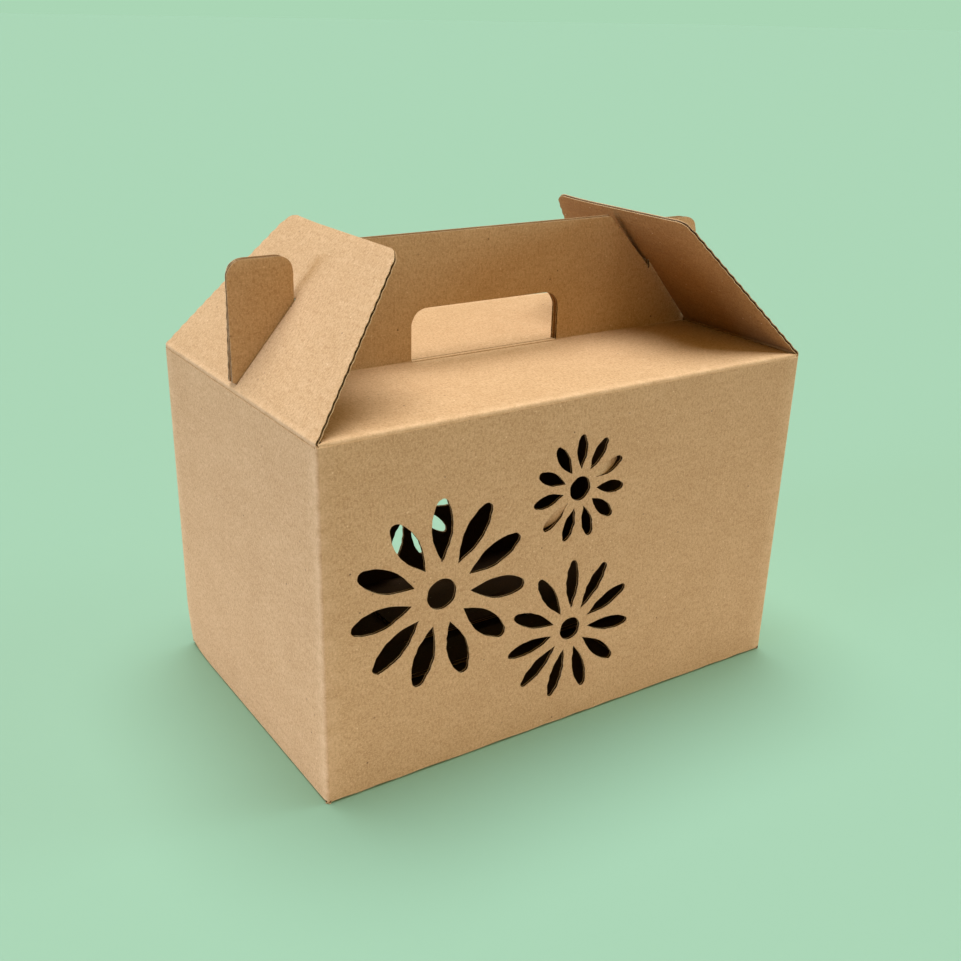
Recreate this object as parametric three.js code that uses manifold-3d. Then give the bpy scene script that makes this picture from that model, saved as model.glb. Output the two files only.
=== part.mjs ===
// Gable carry box for cookies, die-cut and folded from one sheet of kraft corrugated board.
// Millimetres, +Z up, +X along the box, the origin in the middle of the underside.
// The walls, bottom flaps, roof panels and handle panels are one folded sheet: box_body.
// The end flaps turn on their folds. Each has a slot over the ears that lock it, and the
// ears are the parts of the handle panels above the foot of the slit, which bend by hand.

import * as THREE from "three";
import { mergeVertices } from "three/addons/utils/BufferGeometryUtils.js";
import Module from "manifold-3d";

// Board and folds
const BOARD = 3;
const CLEARANCE = 0.3;
const SWING_MARGIN = 0.05;
const FOLD_RADIUS = 3;
const INNER_FOLD_RADIUS = 0.6;

// Outside of the box, up to the folds of its roof
const BOX_LENGTH = 317;
const BOX_WIDTH = 199;
const BOX_HEIGHT = 200;

// Handle panels, above the roof
const HANDLE_HEIGHT = 70.6;
const HANDLE_CORNER_RADIUS = 2.5;
const WINDOW_WIDTH = 102.3;
const WINDOW_HEIGHT = 29.6;
const WINDOW_CORNER_RADIUS = 10;

// Ears at the ends of the handle panels
const EAR_WIDTH = 36.5;
const EAR_HEIGHT = 66;
const EAR_OUTER_RADIUS = 9;
const EAR_INNER_RADIUS = 8;
const SLIT_WIDTH = 1.6;
const SLIT_FOOT = 36.5;
const SHOULDER_DEGREES = 44.4;

// End flaps, measured along their slope
const FLAP_LEAN_DEGREES = 49.5;
const FLAP_LENGTH = 100;
const FLAP_SIDE_INSET = 0.6;
const FLAP_SIDE_DEGREES = 20.456;
const FLAP_CORNER_RADIUS = 11;
const FLAP_SLOT_START = 3.3;
const FLAP_SLOT_END = 59;
const FLAP_SLOT_PLAY = 0.9;

// Bottom flaps and the lock tongue that holds them
const FRONT_BOTTOM_REACH = 118;
const BACK_BOTTOM_REACH = 120;
const END_BOTTOM_REACH = 88;
const BOTTOM_FLAP_TAPER = 30;
const BOTTOM_SIDE_PLAY = 0.5;
const TONGUE_WIDTH = 90;
const TONGUE_RAMP = 15;
const TONGUE_LAP = 28;

// Glue tab, inside the back wall
const TAB_WIDTH = 32;
const TAB_CHAMFER = 12;
const TAB_INSET = 14;

// Cut-out flowers on the front and back walls: places from the wall's left edge and the floor.
// How full a petal's two curves are is in shares of its length and width.
const PETAL_COUNT = 11;
const PETAL_WIDEST = 0.56;
const PETAL_FOOT_LENGTH = 0.22;
const PETAL_FOOT_WIDTH = 0.3;
const PETAL_BELLY = 0.2;
const PETAL_NOSE = 0.1;
const PETAL_JOIN_DEGREES = 68;
const FLOWERS = [
  { across: 69.1, up: 105.6, hub: 8.9, inner: 17.9, outer: 53.5, width: 13, tip: 3.7 },
  { across: 156.6, up: 146.6, hub: 7, inner: 11.2, outer: 31, width: 7.4, tip: 2.2 },
  { across: 155.5, up: 60.7, hub: 7, inner: 12.7, outer: 43, width: 8.7, tip: 2.3 },
];

// Facets to each curve, and how far a cutter runs past what it cuts
const CURVE_STEPS = 5;
const PETAL_STEPS = 4;
const FOLD_STEPS = 3;
const REACH_PAST = 5;

// Values that follow from those above
const halfLength = BOX_LENGTH / 2;
const halfWidth = BOX_WIDTH / 2;
const lean = THREE.MathUtils.degToRad(FLAP_LEAN_DEGREES);
const shoulder = THREE.MathUtils.degToRad(SHOULDER_DEGREES);
const plyInner = CLEARANCE / 2;
const plyOuter = plyInner + BOARD;
// The flap and the wall meet on the plane that halves the angle of their fold
const mitreSlope = Math.tan((Math.PI / 2 - lean) / 2);
const mitreDrop = CLEARANCE / 2 / Math.cos(Math.atan(mitreSlope));
// The foot of the slot swings on this radius as the flap opens
const slotFootRadius = Math.hypot(FLAP_SLOT_START, BOARD);
const reliefRadius = slotFootRadius + CLEARANCE + SWING_MARGIN;
// The flap is as wide as the wall at its fold and narrows up its slope
const flapBaseHalf = halfWidth - FLAP_SIDE_INSET;
const flapTopHalf = flapBaseHalf - FLAP_LENGTH * Math.tan(THREE.MathUtils.degToRad(FLAP_SIDE_DEGREES));
// The roof panels end clear of the flaps' inner faces
const roofInset = (BOARD + CLEARANCE + SWING_MARGIN) / Math.sin(lean);
const earInset = CLEARANCE;
const earEdge = earInset + EAR_WIDTH;
const panelEdge = earEdge + SLIT_WIDTH;

const kraft = { roughness: 0.9, metalness: 0 };
const COLOURS = { body: "#b8976b", flap: "#cfa97a", ear: "#a9824f" };

const wasm = await Module();
wasm.setup();

// A closed geometry as a solid that can be cut and joined.
function solidOf(geometry) {
  const bare = geometry.index ? geometry.toNonIndexed() : geometry.clone();
  bare.deleteAttribute("normal");
  bare.deleteAttribute("uv");
  const merged = mergeVertices(bare, 1e-4);
  const mesh = new wasm.Mesh({
    numProp: 3,
    vertProperties: new Float32Array(merged.attributes.position.array),
    triVerts: new Uint32Array(merged.index.array),
  });
  return new wasm.Manifold(mesh);
}

// A solid as a flat-shaded geometry.
function geometryOf(solid) {
  const mesh = solid.getMesh();
  const geometry = new THREE.BufferGeometry();
  geometry.setAttribute("position", new THREE.BufferAttribute(mesh.vertProperties, 3));
  geometry.setIndex(new THREE.BufferAttribute(mesh.triVerts, 1));
  const flat = geometry.toNonIndexed();
  flat.computeVertexNormals();
  return flat;
}

function extruded(shape, depth, steps = CURVE_STEPS) {
  return new THREE.ExtrudeGeometry(shape, { depth, bevelEnabled: false, curveSegments: steps });
}

// A shape drawn in X and Y, raised from one height to another.
function prismAlongZ(shape, low, high, steps) {
  return solidOf(extruded(shape, high - low, steps).translate(0, 0, low));
}

// A shape drawn in Y and Z, run from one X to another.
function prismAlongX(shape, low, high, steps) {
  const turn = new THREE.Matrix4().makeBasis(
    new THREE.Vector3(0, 1, 0),
    new THREE.Vector3(0, 0, 1),
    new THREE.Vector3(1, 0, 0),
  );
  return solidOf(extruded(shape, high - low, steps).applyMatrix4(turn).translate(low, 0, 0));
}

// A shape drawn in X and Z, run from one Y to another.
function prismAlongY(shape, low, high, steps) {
  const turn = new THREE.Matrix4().makeRotationX(Math.PI / 2);
  return solidOf(extruded(shape, high - low, steps).applyMatrix4(turn).translate(0, high, 0));
}

function polygon(points) {
  return new THREE.Shape(points.map(([x, y]) => new THREE.Vector2(x, y)));
}

// A rectangle with round corners, about the origin.
function roundedRectangle(width, height, radius) {
  const x = width / 2;
  const y = height / 2;
  const shape = new THREE.Shape();
  shape.absarc(x - radius, y - radius, radius, 0, Math.PI / 2);
  shape.absarc(-x + radius, y - radius, radius, Math.PI / 2, Math.PI);
  shape.absarc(-x + radius, -y + radius, radius, Math.PI, Math.PI * 1.5);
  shape.absarc(x - radius, -y + radius, radius, Math.PI * 1.5, Math.PI * 2);
  shape.closePath();
  return shape;
}

// The corners of a polygon rounded to the radius given with each: [x, y, radius].
function roundedPolygon(corners) {
  const shape = new THREE.Shape();
  corners.forEach(([x, y, radius = 0], i) => {
    const here = new THREE.Vector2(x, y);
    const before = new THREE.Vector2(...corners.at(i - 1).slice(0, 2)).sub(here).normalize();
    const after = new THREE.Vector2(...corners[(i + 1) % corners.length].slice(0, 2)).sub(here).normalize();
    const place = (point) => (i === 0 ? shape.moveTo(point.x, point.y) : shape.lineTo(point.x, point.y));
    if (radius === 0) {
      place(here);
      return;
    }
    const half = before.angleTo(after) / 2;
    const back = radius / Math.tan(half);
    const start = here.clone().addScaledVector(before, back);
    const end = here.clone().addScaledVector(after, back);
    const middle = before.clone().add(after).normalize();
    const centre = here.clone().addScaledVector(middle, radius / Math.sin(half));
    const from = start.clone().sub(centre).angle();
    const to = end.clone().sub(centre).angle();
    place(start);
    shape.absarc(centre.x, centre.y, radius, from, to, before.cross(after) > 0);
  });
  shape.closePath();
  return shape;
}

// One petal, pointing along +X from the flower's centre: a pointed foot and a round end.
function petalPoints({ inner, outer, width, tip }) {
  const length = outer - inner;
  const widest = inner + PETAL_WIDEST * length;
  const join = THREE.MathUtils.degToRad(PETAL_JOIN_DEGREES);
  const end = new THREE.Vector2(tip * Math.cos(join), tip * Math.sin(join)).add({ x: outer - tip, y: 0 });
  const foot = new THREE.CubicBezierCurve(
    new THREE.Vector2(inner, 0),
    new THREE.Vector2(inner + PETAL_FOOT_LENGTH * length, PETAL_FOOT_WIDTH * width),
    new THREE.Vector2(widest - PETAL_BELLY * length, width / 2),
    new THREE.Vector2(widest, width / 2),
  );
  const shoulderCurve = new THREE.CubicBezierCurve(
    new THREE.Vector2(widest, width / 2),
    new THREE.Vector2(widest + PETAL_BELLY * length, width / 2),
    new THREE.Vector2(-Math.sin(join), Math.cos(join)).multiplyScalar(PETAL_NOSE * length).add(end),
    end,
  );
  const nose = new THREE.EllipseCurve(outer - tip, 0, tip, tip, join, 0, true);
  const side = [
    ...foot.getPoints(PETAL_STEPS),
    ...shoulderCurve.getPoints(PETAL_STEPS - 1).slice(1),
    ...nose.getPoints(PETAL_STEPS - 1).slice(1),
  ];
  const mirrored = side.slice(1, -1).reverse().map((point) => new THREE.Vector2(point.x, -point.y));
  return side.concat(mirrored).reverse();
}

// A flower's hub and petals as cutters along Y, with its centre at the origin.
function flowerCutter(flower) {
  const hub = new THREE.Shape().absarc(0, 0, flower.hub, 0, Math.PI * 2);
  const petal = petalPoints(flower);
  const reach = BOARD + REACH_PAST;
  const cutters = [prismAlongY(hub, -reach, reach, 2 * CURVE_STEPS)];
  for (let i = 0; i < PETAL_COUNT; i += 1) {
    const turn = Math.PI / 2 - (i * 2 * Math.PI) / PETAL_COUNT;
    const origin = new THREE.Vector2();
    const turned = petal.map((point) => point.clone().rotateAround(origin, turn));
    cutters.push(prismAlongY(new THREE.Shape(turned), -reach, reach));
  }
  return cutters.reduce((all, cutter) => all.add(cutter));
}

// All the flowers of the front wall, or turned half round for the back wall.
function flowersCutter(back) {
  const cutters = FLOWERS.map((flower) =>
    flowerCutter(flower).translate(flower.across - halfLength, -halfWidth, flower.up),
  );
  const all = cutters.reduce((sum, cutter) => sum.add(cutter));
  return back ? all.rotate(0, 0, 180) : all;
}

// The four upright walls as one band of board.
function wallBand() {
  const outline = roundedRectangle(BOX_LENGTH, BOX_WIDTH, FOLD_RADIUS);
  const inside = roundedRectangle(BOX_LENGTH - 2 * BOARD, BOX_WIDTH - 2 * BOARD, INNER_FOLD_RADIUS);
  outline.holes.push(inside);
  let band = prismAlongZ(outline, 0, BOX_HEIGHT, FOLD_STEPS);
  // Each end wall stops at the mitre under its flap
  const top = BOX_HEIGHT - mitreDrop;
  const wedge = polygon([
    [-halfLength - REACH_PAST, top + REACH_PAST * mitreSlope],
    [-halfLength + roofInset, top - roofInset * mitreSlope],
    [-halfLength + roofInset, BOX_HEIGHT + REACH_PAST],
    [-halfLength - REACH_PAST, BOX_HEIGHT + REACH_PAST],
  ]);
  const leftWedge = prismAlongY(wedge, -BOX_WIDTH, BOX_WIDTH);
  band = band.subtract(leftWedge).subtract(leftWedge.rotate(0, 0, 180));
  return band;
}

// What rounds the long fold at the top or the bottom of the front wall.
function foldRounding(height, upwards) {
  const y = -halfWidth;
  const way = upwards ? 1 : -1;
  const corner = new THREE.Shape();
  corner.moveTo(y, height - way * FOLD_RADIUS);
  const from = Math.PI;
  corner.absarc(y + FOLD_RADIUS, height - way * FOLD_RADIUS, FOLD_RADIUS, from, way * Math.PI / 2, upwards);
  corner.lineTo(y + FOLD_RADIUS, height + way);
  corner.lineTo(y - 1, height + way);
  corner.lineTo(y - 1, height - way * FOLD_RADIUS);
  corner.closePath();
  return prismAlongX(corner, -BOX_LENGTH, BOX_LENGTH, FOLD_STEPS);
}

// The section of the front roof panel and handle panel, across the box.
function roofSection() {
  const section = new THREE.Shape();
  section.moveTo(-halfWidth, BOX_HEIGHT - BOARD);
  section.lineTo(-plyOuter, BOX_HEIGHT - BOARD);
  section.absarc(-plyOuter, BOX_HEIGHT, BOARD, -Math.PI / 2, 0);
  section.lineTo(-plyInner, BOX_HEIGHT + HANDLE_HEIGHT);
  section.lineTo(-plyOuter, BOX_HEIGHT + HANDLE_HEIGHT);
  section.lineTo(-plyOuter, BOX_HEIGHT);
  section.lineTo(-halfWidth, BOX_HEIGHT);
  section.closePath();
  return section;
}

// The outline of the roof and handle seen from the front, without the parts of the ears that bend.
function handleOutline() {
  const slotFoot = {
    x: FLAP_SLOT_END * Math.cos(lean) + BOARD * Math.sin(lean),
    z: FLAP_SLOT_END * Math.sin(lean) - BOARD * Math.cos(lean),
  };
  // The shoulder carries the end of the flap's slot
  const restX = slotFoot.x + CLEARANCE * Math.sin(shoulder);
  const restZ = slotFoot.z - CLEARANCE * Math.cos(shoulder);
  const shoulderFoot = restZ - (restX - panelEdge) * Math.tan(shoulder);
  const shoulderTop = restX + (HANDLE_HEIGHT - restZ) / Math.tan(shoulder);
  const reliefTop = Math.sqrt(reliefRadius ** 2 - earInset ** 2);
  const outline = new THREE.Shape();
  const left = -halfLength;
  outline.moveTo(left + roofInset, BOX_HEIGHT - 2 * BOARD);
  outline.lineTo(left + roofInset, BOX_HEIGHT);
  outline.lineTo(left + reliefRadius, BOX_HEIGHT);
  outline.absarc(left, BOX_HEIGHT, reliefRadius, 0, Math.atan2(reliefTop, earInset));
  outline.lineTo(left + earInset, BOX_HEIGHT + SLIT_FOOT);
  outline.lineTo(left + panelEdge, BOX_HEIGHT + SLIT_FOOT);
  outline.lineTo(left + panelEdge, BOX_HEIGHT + shoulderFoot);
  const bend = HANDLE_CORNER_RADIUS * Math.tan(shoulder / 2);
  const cornerX = left + shoulderTop;
  const cornerZ = BOX_HEIGHT + HANDLE_HEIGHT;
  outline.lineTo(cornerX - bend * Math.cos(shoulder), cornerZ - bend * Math.sin(shoulder));
  const centreZ = cornerZ - HANDLE_CORNER_RADIUS;
  outline.absarc(
    cornerX + bend, centreZ, HANDLE_CORNER_RADIUS,
    Math.PI / 2 + shoulder, Math.PI / 2, true,
  );
  outline.lineTo(0, cornerZ);
  outline.lineTo(0, BOX_HEIGHT - 2 * BOARD);
  outline.closePath();
  const half = prismAlongY(outline, -BOX_WIDTH, BOX_WIDTH);
  const window = roundedPolygon([
    [-WINDOW_WIDTH / 2, BOX_HEIGHT],
    [WINDOW_WIDTH / 2, BOX_HEIGHT],
    [WINDOW_WIDTH / 2, BOX_HEIGHT + WINDOW_HEIGHT, WINDOW_CORNER_RADIUS],
    [-WINDOW_WIDTH / 2, BOX_HEIGHT + WINDOW_HEIGHT, WINDOW_CORNER_RADIUS],
  ]);
  return half.add(half.rotate(0, 0, 180)).subtract(prismAlongY(window, -plyOuter - 1, plyOuter + 1));
}

// The roof panels and handle panels, front and back.
function roofAndHandle() {
  const front = prismAlongX(roofSection(), -halfLength, halfLength, FOLD_STEPS);
  return front.add(front.rotate(0, 0, 180)).intersect(handleOutline());
}

// A bottom flap drawn from a root on the X axis towards +Y, narrower at its end.
function bottomFlap(root, reach) {
  return polygon([
    [-root / 2, 0],
    [root / 2, 0],
    [root / 2, reach / 3],
    [root / 2 - BOTTOM_FLAP_TAPER, reach],
    [-root / 2 + BOTTOM_FLAP_TAPER, reach],
    [-root / 2, reach / 3],
  ]);
}

// The bottom: the front flap outside, the end flaps on it and the back flap inside them.
// The front flap's tongue rises through a slot in the back flap and lies on it.
function bottom() {
  const layer = BOARD + CLEARANCE;
  const rootInset = BOARD / 2;
  const longRoot = BOX_LENGTH - 2 * BOARD - 2 * BOTTOM_SIDE_PLAY;
  const shortRoot = BOX_WIDTH - 2 * BOARD - 2 * BOTTOM_SIDE_PLAY;
  const frontEdge = -halfWidth + rootInset + FRONT_BOTTOM_REACH;
  const front = prismAlongZ(bottomFlap(longRoot, FRONT_BOTTOM_REACH), 0, BOARD)
    .translate(0, -halfWidth + rootInset, 0);
  const end = prismAlongZ(bottomFlap(shortRoot, END_BOTTOM_REACH), layer, layer + BOARD)
    .rotate(0, 0, -90)
    .translate(-halfLength + rootInset, 0, 0);
  const back = prismAlongZ(bottomFlap(longRoot, BACK_BOTTOM_REACH), 2 * layer, 2 * layer + BOARD)
    .rotate(0, 0, 180)
    .translate(0, halfWidth - rootInset, 0);
  const rise = 3 * layer;
  const lap = frontEdge + TONGUE_RAMP + TONGUE_LAP;
  const tongue = polygon([
    [frontEdge - 2 * BOARD, 0],
    [frontEdge, 0],
    [frontEdge + TONGUE_RAMP, rise],
    [lap, rise],
    [lap, rise + BOARD],
    [frontEdge + TONGUE_RAMP - CLEARANCE * BOARD, rise + BOARD],
    [frontEdge - CLEARANCE * BOARD, BOARD],
    [frontEdge - 2 * BOARD, BOARD],
  ]);
  const rampAt = (height) => (TONGUE_RAMP * height) / rise;
  const slotNear = frontEdge - CLEARANCE * BOARD + rampAt(2 * layer - BOARD) - 2 * CLEARANCE;
  const slotFar = frontEdge + rampAt(2 * layer + BOARD) + 2 * CLEARANCE;
  const slotHalf = TONGUE_WIDTH / 2 + 1;
  const slot = polygon([
    [-slotHalf, slotNear],
    [slotHalf, slotNear],
    [slotHalf, slotFar],
    [-slotHalf, slotFar],
  ]);
  const slotCutter = prismAlongZ(slot, 2 * layer - 1, 2 * layer + BOARD + 1);
  return front
    .add(prismAlongX(tongue, -TONGUE_WIDTH / 2, TONGUE_WIDTH / 2))
    .add(end)
    .add(end.rotate(0, 0, 180))
    .add(back.subtract(slotCutter));
}

// The glue tab of the left end wall, stuck to the inside of the back wall.
function glueTab() {
  const low = TAB_INSET;
  const high = BOX_HEIGHT - BOARD - TAB_INSET;
  const root = -halfLength + BOARD / 2;
  const tab = polygon([
    [root, low],
    [root + TAB_WIDTH, low + TAB_CHAMFER],
    [root + TAB_WIDTH, high - TAB_CHAMFER],
    [root, high],
  ]);
  const inner = halfWidth - BOARD;
  return prismAlongY(tab, inner - BOARD, inner + BOARD / 2);
}

function boxBody() {
  const topFold = foldRounding(BOX_HEIGHT, true);
  const bottomFold = foldRounding(0, false);
  return wallBand()
    .add(roofAndHandle())
    .subtract(topFold)
    .subtract(topFold.rotate(0, 0, 180))
    .add(bottom())
    .subtract(bottomFold)
    .add(glueTab())
    .subtract(flowersCutter(false))
    .subtract(flowersCutter(true));
}

// The end flap, drawn flat: X across the box, Y up its slope, Z into the board from its outer face.
function endFlap() {
  const outline = roundedPolygon([
    [-flapBaseHalf, 0],
    [flapBaseHalf, 0],
    [flapTopHalf, FLAP_LENGTH, FLAP_CORNER_RADIUS],
    [-flapTopHalf, FLAP_LENGTH, FLAP_CORNER_RADIUS],
  ]);
  const slotHalf = plyOuter + FLAP_SLOT_PLAY / 2;
  const slot = polygon([
    [-slotHalf, FLAP_SLOT_START],
    [slotHalf, FLAP_SLOT_START],
    [slotHalf, FLAP_SLOT_END],
    [-slotHalf, FLAP_SLOT_END],
  ]);
  outline.holes.push(slot);
  // Its root is cut to the mitre that it shares with the wall
  const wedge = polygon([
    [-REACH_PAST, -1],
    [mitreDrop - mitreSlope, -1],
    [mitreDrop + mitreSlope * (BOARD + 1), BOARD + 1],
    [-REACH_PAST, BOARD + 1],
  ]);
  return prismAlongZ(outline, 0, BOARD).subtract(prismAlongX(wedge, -BOX_WIDTH, BOX_WIDTH));
}

// The part of an ear above the foot of the slit, drawn from the box's left end.
function earTop() {
  return roundedPolygon([
    [earInset, SLIT_FOOT + CLEARANCE],
    [earEdge, SLIT_FOOT + CLEARANCE],
    [earEdge, EAR_HEIGHT, EAR_INNER_RADIUS],
    [earInset, EAR_HEIGHT, EAR_OUTER_RADIUS],
  ]);
}

function boardMesh(name, solid, colour) {
  const material = new THREE.MeshStandardMaterial({ color: colour, ...kraft });
  const mesh = new THREE.Mesh(geometryOf(solid), material);
  mesh.name = name;
  return mesh;
}

const group = new THREE.Group();
group.add(boardMesh("box_body", boxBody(), COLOURS.body));

// Each end has the same pieces, turned half round about the middle of the box.
const ends = [
  { side: "left", turn: 0, near: "front", far: "back" },
  { side: "right", turn: Math.PI, near: "back", far: "front" },
];
const slope = new THREE.Matrix4().makeBasis(
  new THREE.Vector3(0, 1, 0),
  new THREE.Vector3(Math.cos(lean), 0, Math.sin(lean)),
  new THREE.Vector3(Math.sin(lean), 0, -Math.cos(lean)),
);
for (const { side, turn, near, far } of ends) {
  const pieces = new THREE.Group();
  pieces.position.set(0, 0, BOX_HEIGHT);
  pieces.rotation.z = turn;
  const flap = boardMesh(`${side}_end_flap`, endFlap(), COLOURS.flap);
  flap.quaternion.setFromRotationMatrix(slope);
  flap.position.x = -halfLength;
  const nearEar = prismAlongY(earTop(), -plyOuter, -plyInner).translate(-halfLength, 0, 0);
  const farEar = prismAlongY(earTop(), plyInner, plyOuter).translate(-halfLength, 0, 0);
  pieces.add(
    flap,
    boardMesh(`${side}_${near}_ear`, nearEar, COLOURS.ear),
    boardMesh(`${side}_${far}_ear`, farEar, COLOURS.ear),
  );
  group.add(pieces);
}

export default group;
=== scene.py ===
"""Looks of a gable carry box for cookies, folded from one sheet of kraft corrugated board.

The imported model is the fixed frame. Every board here is real single-wall board: an outer liner,
an inner liner and the fluting between them, so each cut edge shows its flutes. A board starts as a
flat outline with holes, is cut into triangles, and is then folded along a section.
Sizes are in millimetres until a mesh is made, and the meshes are in metres.
"""

from __future__ import annotations

import logging
import math
from dataclasses import dataclass, field
from enum import Enum
from typing import Callable, Sequence

import bpy
import numpy as np
from mathutils import Matrix, Vector
from mathutils.geometry import delaunay_2d_cdt


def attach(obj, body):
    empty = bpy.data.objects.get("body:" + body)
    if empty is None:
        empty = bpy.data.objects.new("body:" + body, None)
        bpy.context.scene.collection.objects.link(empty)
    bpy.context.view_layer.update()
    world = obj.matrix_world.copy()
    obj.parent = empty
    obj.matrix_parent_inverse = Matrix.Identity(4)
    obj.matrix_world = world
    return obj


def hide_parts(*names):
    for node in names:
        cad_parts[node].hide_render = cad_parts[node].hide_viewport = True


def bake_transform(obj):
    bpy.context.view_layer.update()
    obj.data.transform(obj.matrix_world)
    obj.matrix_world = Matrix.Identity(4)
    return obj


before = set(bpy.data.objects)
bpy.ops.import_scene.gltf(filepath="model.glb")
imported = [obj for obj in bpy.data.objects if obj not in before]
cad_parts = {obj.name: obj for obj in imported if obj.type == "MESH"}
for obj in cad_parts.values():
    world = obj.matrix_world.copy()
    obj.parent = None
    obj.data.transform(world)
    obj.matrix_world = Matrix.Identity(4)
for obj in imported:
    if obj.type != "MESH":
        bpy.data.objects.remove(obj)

LOG = logging.getLogger("cookie_box")
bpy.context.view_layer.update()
MM = 0.001

Point = tuple[float, float]
Array = np.ndarray


class MaterialSlot(Enum):
    """Order of the material slots on every board."""

    OUTSIDE = 0
    INSIDE = 1
    FLUTES = 2
    CUT = 3


class Side(Enum):
    """The end of the box that a flap hinges on."""

    LEFT = "left"
    RIGHT = "right"


class Ply(Enum):
    """The long side of the box that a gable folds from."""

    FRONT = "front"
    BACK = "back"


@dataclass(frozen=True)
class Board:
    """Single-wall corrugated board."""

    thickness: float = 3.0
    liner: float = 0.36
    medium: float = 0.26
    pitch: float = 6.4

    @property
    def middle(self) -> float:
        """Depth of the middle of the board."""
        return self.thickness / 2

    @property
    def swing(self) -> float:
        """How far the fluting swings to each side of the middle."""
        return self.middle - self.liner - self.medium / 2


@dataclass(frozen=True)
class BoxSizes:
    """Driving sizes of the box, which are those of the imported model."""

    length: float = 317.0
    width: float = 199.0
    height: float = 200.0
    fold: float = 2.0
    play: float = 0.3
    handle_height: float = 70.6
    handle_corner: float = 3.0
    window_width: float = 102.3
    window_height: float = 29.6
    window_corner: float = 10.0
    ear_width: float = 36.5
    ear_height: float = 66.0
    ear_outer_corner: float = 9.0
    ear_inner_corner: float = 8.0
    slit_width: float = 1.6
    slit_foot: float = 36.5
    shoulder_degrees: float = 44.4
    lean_degrees: float = 49.5
    flap_length: float = 100.0
    flap_inset: float = 0.6
    flap_side_degrees: float = 20.456
    flap_corner: float = 11.0
    flap_back_corner: float = 14.0
    flap_back_trim: float = 3.8
    slot_start: float = 3.3
    slot_end: float = 57.4
    slot_play: float = 0.9

    @property
    def half_length(self) -> float:
        """Half the box's length."""
        return self.length / 2

    @property
    def half_width(self) -> float:
        """Half the box's width."""
        return self.width / 2

    @property
    def lean(self) -> float:
        """Lean of the end flaps, in radians."""
        return math.radians(self.lean_degrees)


BOARD = Board()
BOX = BoxSizes()


def linear(hex_colour: str) -> tuple[float, float, float, float]:
    """Turns an sRGB colour into the linear one that shaders take.

    Args:
        hex_colour: The colour as "#RRGGBB".

    Returns:
        Linear red, green and blue, with an alpha of 1.
    """
    parts = [int(hex_colour[i : i + 2], 16) / 255 for i in (1, 3, 5)]
    bent = [p / 12.92 if p <= 0.04045 else ((p + 0.055) / 1.055) ** 2.4 for p in parts]
    return bent[0], bent[1], bent[2], 1.0


# Sections: how a flat board is folded


@dataclass(frozen=True)
class Straight:
    """A flat stretch of a section."""

    length: float


@dataclass(frozen=True)
class Turn:
    """A fold of a section, with the radius of its outer face. A fold away from the inside is negative."""

    radius: float
    degrees: float

    @property
    def angle(self) -> float:
        """How far the section turns, in radians."""
        return math.radians(self.degrees)

    @property
    def length(self) -> float:
        """Length of board that the fold takes up."""
        reach = self.radius if self.degrees > 0 else self.radius + BOARD.thickness
        return reach * abs(self.angle)


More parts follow.
